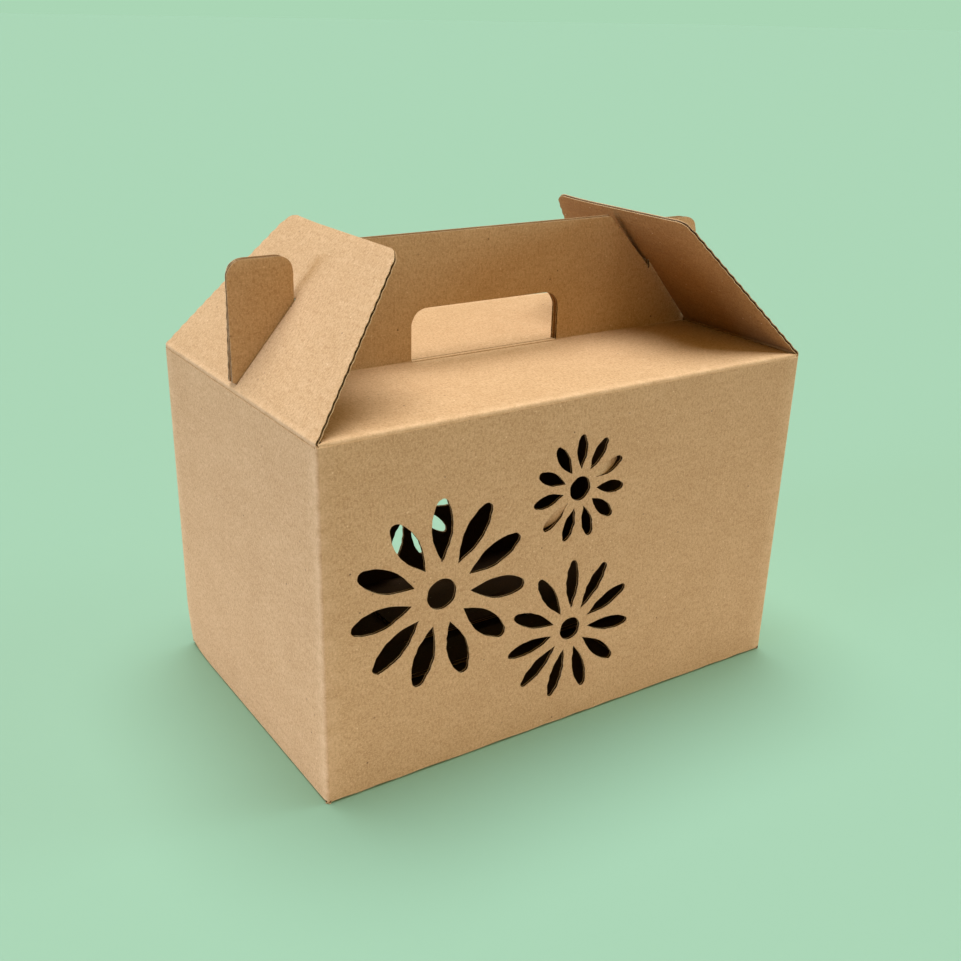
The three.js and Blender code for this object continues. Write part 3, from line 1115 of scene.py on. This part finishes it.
def along_front(a: Array, point: Array) -> Array:
    """Width along the box, section across it and up, for the front."""
    return np.stack([a, point[:, 0], point[:, 1]], axis=1)


def along_left(a: Array, point: Array) -> Array:
    """Width across the box, section along it and up, for the left end."""
    return np.stack([point[:, 0], -a, point[:, 1]], axis=1)


@dataclass(frozen=True)
class Walls:
    """The four upright walls as one band of board, with the cut-out flowers front and back."""

    foot: float = 2.0
    bulge: float = 0.55
    back_bulge: float = 3.4
    back_drift: Point = (2.8, 2.9)
    spacing: float = 9.0

    @property
    def section(self) -> Section:
        """The band seen from above, from the back wall's left end clockwise.

        Returns:
            The section.
        """
        long = Straight(BOX.length - 2 * BOX.fold)
        short = Straight(BOX.width - 2 * BOX.fold)
        turn = Turn(BOX.fold, 90)
        start = (-BOX.half_length + BOX.fold, BOX.half_width)
        return Section(start, 0, [long, turn, short, turn, long, turn, short, turn])

    def sheet(self) -> Sheet:
        """The flat band with its flower holes.

        Returns:
            The sheet.
        """
        section = self.section
        top = BOX.height - BOX.fold
        stops = section.stops(self.spacing)
        outline = [(a, self.foot) for a in stops] + [(a, top) for a in reversed(stops)]
        holes: list[list[Point]] = []
        for wall, drift in ((section.starts[0], self.back_drift), (section.starts[4], (0.0, 0.0))):
            for flower in FLOWERS:
                across = wall + BOX.length - BOX.fold - flower.across
                holes += flower.holes(across + drift[0], flower.up + drift[1])
        return Sheet(outline, holes)

    def _swell(self, a: Array, b: Array) -> Array:
        """How far the board stands in from flat: a soft unevenness that dies out at the folds.

        Args:
            a: Place along the band.
            b: Height.

        Returns:
            The distance at each place.
        """
        section = self.section
        swell = np.zeros(len(a))
        for i in (0, 2, 4, 6):
            t = np.clip((a - section.starts[i]) / section.steps[i].length, 0, 1)
            window = np.sin(math.pi * t) ** 0.7 * np.sin(math.pi * np.clip(b / BOX.height, 0, 1)) ** 0.7
            waves = np.sin(t * 5.1 + i) * np.cos(b / 37.0 + 1.3 * i)
            waves += 0.5 * np.sin(a / 19.0) * np.sin(b / 23.0)
            swell += window * self.bulge * (0.35 + 0.4 * waves)
            if i == 0:
                swell -= window**2 * self.back_bulge
        return swell

    def build(self, materials: list[bpy.types.Material]) -> bpy.types.Object:
        """Makes the walls.

        Args:
            materials: The board's materials.

        Returns:
            The object.
        """
        section = self.section

        def place(a: Array, b: Array, depth: Array) -> Array:
            """Places points of the band in space."""
            flat = section.place(a, depth + self._swell(a, b))
            return np.column_stack([flat, b])

        top = BOX.height - BOX.fold
        fold = Fold(
            place,
            section.stops(self.spacing),
            spaced(self.foot, top, BOARD.pitch / 2),
            lambda a, b: section.fold_weight(a),
        )
        return BoardMesh("walls").add(self.sheet(), fold).build(materials)


@dataclass(frozen=True)
class Gable:
    """A roof panel and the handle panel above it, with an ear at each end and half the hand hole."""

    roof_inset: float = 4.3
    crease: float = 0.35
    back_draw: float = 2.0
    front_shy: float = 1.6
    shoulder_play: float = 0.4
    inset_share: Point = (0.35, 1.15)
    ear_root: tuple[Point, ...] = ((4.6, 0.6), (2.0, 2.9))
    ear_foot: float = 3.3
    spacing: float = 9.0

    @property
    def section(self) -> Section:
        """From the wall over the top fold, along the roof and up the handle.

        Returns:
            The section.
        """
        ply = BOX.play / 2 + BOARD.thickness
        roof = BOX.half_width - BOX.fold - ply - self.crease
        steps = [Turn(BOX.fold, 90), Straight(roof), Turn(self.crease, -90)]
        steps.append(Straight(BOX.handle_height - self.crease))
        return Section((-BOX.half_width, BOX.height - BOX.fold), 90, steps)

    def up(self, height: float) -> float:
        """Place on the flat sheet of a height above the roof, on the handle panel."""
        return self.section.starts[3] + height - self.crease

    def sheet(self, draw: float, shy: float) -> Sheet:
        """The flat roof and handle panel, with its window.

        Args:
            draw: How far the top of an ear is drawn in from the box's end.
            shy: How far the handle's slanted shoulders stop short of the end flaps.

        Returns:
            The sheet.
        """
        end = BOX.half_length
        ear_edge = end - BOX.play - BOX.ear_width
        panel_edge = ear_edge - BOX.slit_width
        slope = math.tan(math.radians(BOX.shoulder_degrees))
        rest_x = BOX.slot_end * math.cos(BOX.lean) + BOARD.thickness * math.sin(BOX.lean)
        rest_z = BOX.slot_end * math.sin(BOX.lean) - BOARD.thickness * math.cos(BOX.lean)
        foot_z = rest_z - (rest_x - (end - panel_edge)) * slope - self.shoulder_play - shy * slope
        top_x = end - rest_x - (BOX.handle_height - rest_z) / slope - shy
        top = self.up(BOX.handle_height)
        roof = self.section.starts[1]
        base = self.section.starts[3]
        ear = end - BOX.play
        right = [
            (end, 0.0, 0.0),
            (end, roof * self.inset_share[0], 0.0),
            (end - self.roof_inset, roof * self.inset_share[1], 0.0),
            (end - self.roof_inset, base, 0.0),
            *((end - inset, self.up(height), 0.0) for inset, height in self.ear_root),
            (ear, self.up(self.ear_foot), 0.0),
            (ear - draw, self.up(BOX.ear_height), BOX.ear_outer_corner),
            (ear_edge, self.up(BOX.ear_height), BOX.ear_inner_corner),
            (ear_edge, self.up(BOX.slit_foot), 0.5),
            (panel_edge, self.up(BOX.slit_foot), 0.5),
            (panel_edge, self.up(foot_z), 0.0),
            (top_x, top, BOX.handle_corner),
        ]
        left = [(-x, z, r) for x, z, r in reversed(right)]
        window = rounded(
            [
                (-BOX.window_width / 2, self.section.starts[2], 0.0),
                (BOX.window_width / 2, self.section.starts[2], 0.0),
                (BOX.window_width / 2, self.up(BOX.window_height), BOX.window_corner),
                (-BOX.window_width / 2, self.up(BOX.window_height), BOX.window_corner),
            ]
        )
        return Sheet(rounded(right + left), [window], cut=True)

    def build(self, ply: Ply, materials: list[bpy.types.Material]) -> bpy.types.Object:
        """Makes one gable.

        Args:
            ply: Which of the two it is.
            materials: The board's materials.

        Returns:
            The object.
        """
        back = ply is Ply.BACK
        lift = turned(along_front) if back else along_front
        fold = folded_up(self.section, lift, spaced(-BOX.half_length, BOX.half_length, self.spacing))
        sheet = self.sheet(self.back_draw, 0.0) if back else self.sheet(0.0, self.front_shy)
        board = BoardMesh(f"{ply.value}_gable").add(sheet, fold)
        # Under the hand hole the board runs on flat, because nothing folds it up there
        reach = BOX.play / 2 + BOARD.thickness + self.crease
        sill = Section((-reach, BOX.height), 0, [Straight(reach - 1.3 * BOX.play)])
        half = BOX.window_width / 2 - 0.2
        outline = [(-half, 0.0), (half, 0.0), (half, sill.length), (-half, sill.length)]
        board.add(Sheet(outline), folded_up(sill, lift, spaced(-half, half, self.spacing)), phase=0.4)
        return board.build(materials)


@dataclass(frozen=True)
class EndFlap:
    """An end flap that leans over the roof, with the slot that the ears lock and the crease at its foot."""

    reach: float = 3.0
    tooth: float = 2.1
    tooth_depth: float = 0.42
    phase: float = 0.2

    @property
    def section(self) -> Section:
        """From the end wall over the crease and up the flap's slope.

        Returns:
            The section.
        """
        turn = Turn(BOX.fold, 90 - BOX.lean_degrees)
        tangent = BOX.fold * math.tan(turn.angle / 2)
        wall = BOX.fold - tangent
        return Section(
            (-BOX.half_length, BOX.height - BOX.fold),
            90,
            [Straight(wall), turn, Straight(BOX.flap_length - tangent)],
        )

    def up(self, slope: float) -> float:
        """Place on the flat sheet of a distance up the slope from the hinge."""
        turn = self.section.steps[1]
        return self.section.starts[2] + slope - BOX.fold * math.tan(turn.angle / 2)

    def half_at(self, slope: float) -> float:
        """Half the flap's width at a distance up its slope."""
        return BOX.half_width - BOX.flap_inset - slope * math.tan(math.radians(BOX.flap_side_degrees))

    def sheet(self, side: Side) -> Sheet:
        """The flat flap above its crease, with a finely toothed top edge.

        Args:
            side: The flap's end of the box, which tells its back corner from its front one.

        Returns:
            The sheet.
        """
        low = self.reach
        top = BOX.flap_length
        front = (self.half_at(top), BOX.flap_corner)
        back = (self.half_at(top) - BOX.flap_back_trim, BOX.flap_back_corner)
        first, last = (front, back) if side is Side.LEFT else (back, front)
        corners = rounded(
            [
                (-self.half_at(low), self.up(low), 0.0),
                (self.half_at(low), self.up(low), 0.0),
                (first[0], self.up(top), first[1]),
                (-last[0], self.up(top), last[1]),
            ]
        )
        split = max(i for i, (x, _) in enumerate(corners) if x > 0)
        start, end = corners[split][0], corners[split + 1][0]
        count = round((start - end) / self.tooth)
        teeth = []
        for k in range(1, 2 * count):
            x = start + (end - start) * k / (2 * count)
            teeth.append((x, self.up(top) - self.tooth_depth * (k % 2)))
        half = BOX.play / 2 + BOARD.thickness + BOX.slot_play / 2
        slot = [
            (-half, self.up(BOX.slot_start)),
            (half, self.up(BOX.slot_start)),
            (half, self.up(BOX.slot_end)),
            (-half, self.up(BOX.slot_end)),
        ]
        return Sheet(corners[: split + 1] + teeth + corners[split + 1 :], [slot], cut=True)

    def crease_sheet(self) -> Sheet:
        """The narrow strip from the wall's top to the flap's foot.

        Returns:
            The sheet.
        """
        wall = BOX.half_width - 0.3
        flap = self.half_at(self.reach)
        middle = self.section.starts[1]
        return Sheet(
            [
                (-wall, 0.0),
                (wall, 0.0),
                (wall - 0.3, middle),
                (flap, self.up(self.reach)),
                (-flap, self.up(self.reach)),
                (-wall + 0.3, middle),
            ],
            cut=True,
        )

    def build(
        self, side: Side, materials: list[bpy.types.Material]
    ) -> tuple[bpy.types.Object, bpy.types.Object]:
        """Makes the flap and its crease.

        Args:
            side: The flap's end of the box.
            materials: The board's materials.

        Returns:
            The flap and the crease.
        """
        name = side.value
        lift = turned(along_left) if side is Side.RIGHT else along_left
        half = BOX.half_width
        fold = folded_up(self.section, lift, spaced(-half, half, 7.0))
        flap = BoardMesh(f"{name}_flap_board").add(self.sheet(side), fold, self.phase).build(materials)
        crease = BoardMesh(f"{name}_flap_crease").add(self.crease_sheet(), fold, self.phase).build(materials)
        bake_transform(crease)
        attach(flap, f"{name}_flap")
        return flap, crease


@dataclass(frozen=True)
class Bottom:
    """The folds at the walls' foot and the four bottom flaps, locked by the front one's tongue."""

    front_reach: float = 118.0
    back_reach: float = 120.0
    end_reach: float = 88.0
    taper: float = 30.0
    lip: float = 4.0
    tongue_width: float = 90.0
    tongue_ramp: float = 15.0
    tongue_lap: float = 28.0

    def fold_section(self, edge: float, lip: float) -> Section:
        """From inside the bottom outwards and round the fold up to the wall.

        Args:
            edge: How far the wall stands from the box's middle.
            lip: Length of the flat stretch before the fold.

        Returns:
            The section.
        """
        steps = [Straight(lip), Turn(BOX.fold, 90)]
        return Section((-edge + BOX.fold + lip, 0.0), 180, steps)

    def flap_outline(self, root: float, reach: float) -> list[Point]:
        """A bottom flap from its tip to its root, narrower at its tip.

        Args:
            root: Its width where it folds.
            reach: Its length.

        Returns:
            The outline's points.
        """
        half = root / 2
        return [
            (-half + self.taper, 0.0),
            (half - self.taper, 0.0),
            (half, reach * 2 / 3),
            (half, reach),
            (-half, reach),
            (-half, reach * 2 / 3),
        ]

    def lips(self, materials: list[bpy.types.Material]) -> bpy.types.Object:
        """Makes the folds at the foot of the back and end walls.

        Args:
            materials: The board's materials.

        Returns:
            The object.
        """
        board = BoardMesh("foot_folds")
        for edge, half, lift in (
            (BOX.half_width, BOX.half_length, turned(along_front)),
            (BOX.half_length, BOX.half_width, along_left),
            (BOX.half_length, BOX.half_width, turned(along_left)),
        ):
            section = self.fold_section(edge, self.lip)
            inner = half - 4.2
            outline = [(-inner, 0.0), (inner, 0.0), (half, self.lip), (half, section.length)]
            outline += [(-half, section.length), (-half, self.lip)]
            board.add(Sheet(outline), folded_up(section, lift, spaced(-half, half, 5.0)))
        return board.build(materials)

    def front(self, materials: list[bpy.types.Material]) -> bpy.types.Object:
        """Makes the front bottom flap with its fold and its tongue.

        Args:
            materials: The board's materials.

        Returns:
            The object.
        """
        half = BOX.half_length
        layer = BOARD.thickness + BOX.play
        reach = self.front_reach - 0.5
        section = self.fold_section(BOX.half_width, reach)
        root = BOX.length - 2 * BOARD.thickness - 2.4
        outline = self.flap_outline(root, reach - 2)
        shoulder = section.length - 3.2
        outline = [*outline[:4], (half, shoulder), (half, section.length), (-half, section.length)]
        outline += [(-half, shoulder), (-root / 2, reach - 2), (-root / 2, reach * 2 / 3)]
        board = BoardMesh("front_bottom_flap")
        across = spaced(-half, half, 5.0)
        board.add(Sheet(outline), folded_up(section, along_front, across))
        rise = 3 * layer
        climb = math.degrees(math.atan2(rise, self.tongue_ramp))
        run = math.hypot(rise, self.tongue_ramp)
        tip = -BOX.half_width + BOX.fold + reach + self.tongue_ramp + self.tongue_lap
        steps = [Straight(self.tongue_lap), Turn(0.3, -climb), Straight(run - 2.4), Turn(0.6, climb)]
        tongue = Section((tip, rise), 180, [*steps, Straight(2.5)])
        width = self.tongue_width / 2
        corners = [(-width, 0.0, 9.0), (width, 0.0, 9.0), (width, tongue.length, 0.0)]
        shape = rounded([*corners, (-width, tongue.length, 0.0)])
        board.add(Sheet(shape), folded_up(tongue, along_front, spaced(-width, width, 9.0)))
        return board.build(materials)

    def inner(self, materials: list[bpy.types.Material]) -> bpy.types.Object:
        """Makes the end flaps and the back flap, which lie on the front one.

        Args:
            materials: The board's materials.

        Returns:
            The object.
        """
        board = BoardMesh("inner_bottom_flaps")
        layer = BOARD.thickness + BOX.play
        for lift in (along_left, turned(along_left)):
            start = (-BOX.half_length + BOARD.thickness + 0.2 + self.end_reach, layer)
            flat = Section(start, 180, [Straight(self.end_reach)])
            root = BOX.width - 2 * BOARD.thickness - 1.0
            outline = self.flap_outline(root, self.end_reach)
            board.add(Sheet(outline), folded_up(flat, lift, spaced(-root / 2, root / 2, 30.0)))
        root = BOX.length - 2 * BOARD.thickness - 1.0
        start = (-BOX.half_width + BOARD.thickness + 0.2 + self.back_reach, 2 * layer)
        flat = Section(start, 180, [Straight(self.back_reach)])
        near = BOX.width - BOARD.thickness - self.front_reach - self.back_reach
        middle = -near - self.tongue_ramp * 0.62
        half = self.tongue_width / 2 + 1
        slot = [(-half, middle - 5.5), (half, middle - 5.5), (half, middle + 5.5), (-half, middle + 5.5)]
        outline = self.flap_outline(root, self.back_reach)
        across = spaced(-root / 2, root / 2, 30.0)
        board.add(Sheet(outline, [slot]), folded_up(flat, turned(along_front), across))
        return board.build(materials)


@dataclass(frozen=True)
class GlueTab:
    """The tab of the left end wall, glued to the inside of the back wall."""

    width: float = 32.0
    chamfer: float = 12.0
    inset: float = 14.0

    def build(self, materials: list[bpy.types.Material]) -> bpy.types.Object:
        """Makes the tab.

        Args:
            materials: The board's materials.

        Returns:
            The object.
        """
        top = BOX.height - BOARD.thickness - self.inset
        start = (-BOX.half_length + BOARD.thickness - 0.3, BOX.half_width - BOARD.thickness - 0.05)
        section = Section(start, 0, [Straight(self.width)])
        outline = [
            (0.0, self.inset),
            (self.width, self.inset + self.chamfer),
            (self.width, top - self.chamfer),
            (0.0, top),
        ]

        def place(a: Array, b: Array, depth: Array) -> Array:
            """Places points of the tab in space."""
            return np.column_stack([section.place(a, depth), b])

        fold = Fold(place, [0.0, self.width], spaced(self.inset, top, 20.0), lambda a, b: np.zeros(len(a)))
        return BoardMesh("glue_tab").add(Sheet(outline), fold).build(materials)


@dataclass(frozen=True)
class HangingPetal:
    """A punched petal of the front wall that still hangs in its hole by its foot, tipped into the box."""

    flower: Flower
    index: int
    tip_degrees: float = 11.0
    set_back: float = 0.35
    shrink: tuple[float, float] = (0.96, 0.9)

    def outline(self) -> list[Point]:
        """The petal's outline, a little smaller than its hole."""
        foot = self.flower.inner + 0.3
        long, wide = self.shrink
        return [(foot + (x - self.flower.inner) * long, y * wide) for x, y in self.flower.petal()]

    def build(self, materials: list[bpy.types.Material]) -> bpy.types.Object:
        """Makes the petal.

        Args:
            materials: The board's materials.

        Returns:
            The object.
        """
        turn = math.pi / 2 - 2 * math.pi * self.index / self.flower.PETALS
        tip = math.radians(self.tip_degrees)
        foot = self.flower.inner

        def place(a: Array, b: Array, depth: Array) -> Array:
            """Places points of the petal in space."""
            along = foot + (a - foot) * math.cos(tip) - depth * math.sin(tip)
            inward = self.set_back + (a - foot) * math.sin(tip) + depth * math.cos(tip)
            x = self.flower.across - BOX.half_length + along * math.cos(turn) - b * math.sin(turn)
            z = self.flower.up + along * math.sin(turn) + b * math.cos(turn)
            return np.stack([x, inward - BOX.half_width, z], axis=1)

        half = self.flower.width / 2
        across = spaced(foot, self.flower.outer, 3.0)
        fold = Fold(place, across, spaced(-half, half, 1.6), lambda a, b: 0 * a)
        return BoardMesh(f"hanging_petal_{self.index}").add(Sheet(self.outline()), fold).build(materials)


# Studio


@dataclass(frozen=True)
class Softbox:
    """A large soft lamp far from the object."""

    name: str
    power: float
    spread_degrees: float
    source: tuple[float, float, float]
    colour: tuple[float, float, float]

    def build(self) -> None:
        """Makes the lamp, whose light comes from its source's direction."""
        lamp = bpy.data.lights.new(self.name, "SUN")
        lamp.energy = self.power
        lamp.angle = math.radians(self.spread_degrees)
        lamp.color = self.colour
        placed = bpy.data.objects.new(self.name, lamp)
        bpy.context.scene.collection.objects.link(placed)
        placed.rotation_euler = Vector(self.source).to_track_quat("Z", "Y").to_euler()


@dataclass(frozen=True)
class Studio:
    """A plain floor, a soft lamp from above, two weak cool ones from the sides and a warm even fill."""

    backdrop: str = "#AAD6B5"
    # Light that falls on the floor, which its paint is divided by to come out as the backdrop does
    floor_light: tuple[float, float, float] = (1.49, 1.42, 1.32)
    bounce: tuple[float, float, float] = (0.75, 0.75, 0.75)
    far_bounce: float = 0.25
    table_edge: tuple[float, float] = (0.4, 0.9)
    fill: float = 0.37
    fill_colour: tuple[float, float, float] = (1.0, 0.66, 0.2)
    reach: float = 60.0
    lamps: tuple[Softbox, ...] = (
        Softbox("key", 3.72, 45.0, (0.05, 0.15, 0.98), (0.925, 0.93, 1.0)),
        Softbox("left_side", 3.35, 20.0, (-1.0, 0.04, 0.01), (0.54, 0.71, 1.0)),
        Softbox("right_side", 2.7, 30.0, (1.0, -0.3, 0.05), (0.72, 0.97, 1.0)),
    )

    @staticmethod
    def _seen(owner: bpy.types.Material | bpy.types.World) -> bpy.types.Node:
        """Tells what the camera sees from what lights the object.

        Args:
            owner: The floor's material, or the world.

        Returns:
            A node that is 1 for what is seen, by itself or in gloss or glass, and 0 for what gives light.
        """
        path = add_node(owner, "ShaderNodeLightPath", {})
        seen: object = path.outputs["Is Camera Ray"]
        for ray in ("Is Glossy Ray", "Is Transmission Ray"):
            seen = add_node(owner, "ShaderNodeMath", {0: seen, 1: path.outputs[ray]}, operation="MAXIMUM")
        return seen

    def floor(self) -> None:
        """Makes the floor. It shows the backdrop's colour, and lights the object as a pale table does."""
        mesh = bpy.data.meshes.new("floor")
        r = self.reach
        mesh.from_pydata([(-r, -r, 0), (r, -r, 0), (r, r, 0), (-r, r, 0)], [], [(0, 1, 2, 3)])
        floor = bpy.data.objects.new("floor", mesh)
        bpy.context.scene.collection.objects.link(floor)
        material = bpy.data.materials.new("painted_backdrop_floor")
        material.use_nodes = True
        material.node_tree.nodes.clear()
        seen = self._seen(material)
        tint = linear(self.backdrop)[:3]
        shown = (*(c / light for c, light in zip(tint, self.floor_light)), 1.0)
        paint = add_node(material, "ShaderNodeBsdfDiffuse", {"Color": shown})
        place = add_node(material, "ShaderNodeNewGeometry", {}).outputs["Position"]
        away = add_node(material, "ShaderNodeVectorMath", {0: place}, operation="LENGTH").outputs["Value"]
        near, far = self.table_edge
        fade = add_node(material, "ShaderNodeMapRange", {0: away, 1: near, 2: far})
        dim = (*(c * self.far_bounce for c in self.bounce), 1.0)
        layers = {0: fade, 6: (*self.bounce, 1.0), 7: dim}
        pale = add_node(material, "ShaderNodeMix", layers, data_type="RGBA").outputs[2]
        table = add_node(material, "ShaderNodeBsdfDiffuse", {"Color": pale})
        mix = add_node(material, "ShaderNodeMixShader", {0: seen, 1: table, 2: paint})
        add_node(material, "ShaderNodeOutputMaterial", {"Surface": mix})
        mesh.materials.append(material)

    def world(self) -> None:
        """Makes the even fill, with the backdrop's colour where the camera sees it."""
        world = bpy.data.worlds.new("studio")
        bpy.context.scene.world = world
        world.use_nodes = True
        world.node_tree.nodes.clear()
        seen = self._seen(world)
        shown = add_node(world, "ShaderNodeBackground", {"Color": linear(self.backdrop), "Strength": 1.0})
        fill = {"Color": (*self.fill_colour, 1.0), "Strength": self.fill}
        light = add_node(world, "ShaderNodeBackground", fill)
        mix = add_node(world, "ShaderNodeMixShader", {0: seen, 1: light, 2: shown})
        add_node(world, "ShaderNodeOutputWorld", {"Surface": mix})

    def build(self) -> None:
        """Makes the whole studio."""
        self.floor()
        self.world()
        for lamp in self.lamps:
            lamp.build()


@dataclass(frozen=True)
class PhotoCamera:
    """The photograph's viewpoint, solved on the box's corners."""

    place: tuple[float, float, float] = (-371.5, -546.9, 380.7)
    azimuth: float = -33.155
    elevation: float = 23.501
    roll: float = -1.149
    lens: float = 43.17
    shift: tuple[float, float] = (0.0211, 0.0354)

    def build(self) -> None:
        """Makes the camera and gives it to the scene."""
        az = math.radians(self.azimuth)
        el = math.radians(self.elevation)
        roll = math.radians(self.roll)
        back = Vector((math.sin(az) * math.cos(el), -math.cos(az) * math.cos(el), math.sin(el)))
        right = Vector((0, 0, 1)).cross(back).normalized()
        up = back.cross(right)
        turned_right = math.cos(roll) * right - math.sin(roll) * up
        turned_up = math.sin(roll) * right + math.cos(roll) * up
        data = bpy.data.cameras.new("photo")
        data.lens = self.lens
        data.sensor_width = 36.0
        data.shift_x, data.shift_y = self.shift
        data.clip_start = 0.01
        data.clip_end = 500.0
        camera = bpy.data.objects.new("photo", data)
        bpy.context.scene.collection.objects.link(camera)
        matrix = Matrix((turned_right, turned_up, back)).transposed().to_4x4()
        matrix.translation = Vector(self.place) * MM
        camera.matrix_world = matrix
        bpy.context.scene.camera = camera


def main() -> None:
    """Builds the box, the studio and the camera."""
    logging.basicConfig(level=logging.INFO)
    bpy.context.scene.view_settings.view_transform = "Standard"
    PhotoCamera().build()
    Studio().build()
    palette = Palette()
    materials = palette.build()
    # The walls, bottom flaps and glue tab get a painted-shade inner liner and fluting
    closed = palette.closed(materials)
    walls = Walls().build(closed)
    front = Gable().build(Ply.FRONT, materials)
    back = Gable().build(Ply.BACK, materials)
    bottom = Bottom()
    pieces = [walls, front, back, bottom.front(closed), bottom.lips(closed)]
    pieces += [bottom.inner(closed), GlueTab().build(closed)]
    pieces += [HangingPetal(FLOWERS[1], index).build(materials) for index in (2, 7)]
    for piece in pieces:
        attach(piece, "box")
    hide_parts("box_body")
    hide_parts("left_front_ear", "right_front_ear")
    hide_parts("left_back_ear", "right_back_ear")
    for side in Side:
        flap, crease = EndFlap().build(side, materials)
        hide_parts(f"{side.value}_end_flap")


if __name__ == "__main__":
    main()
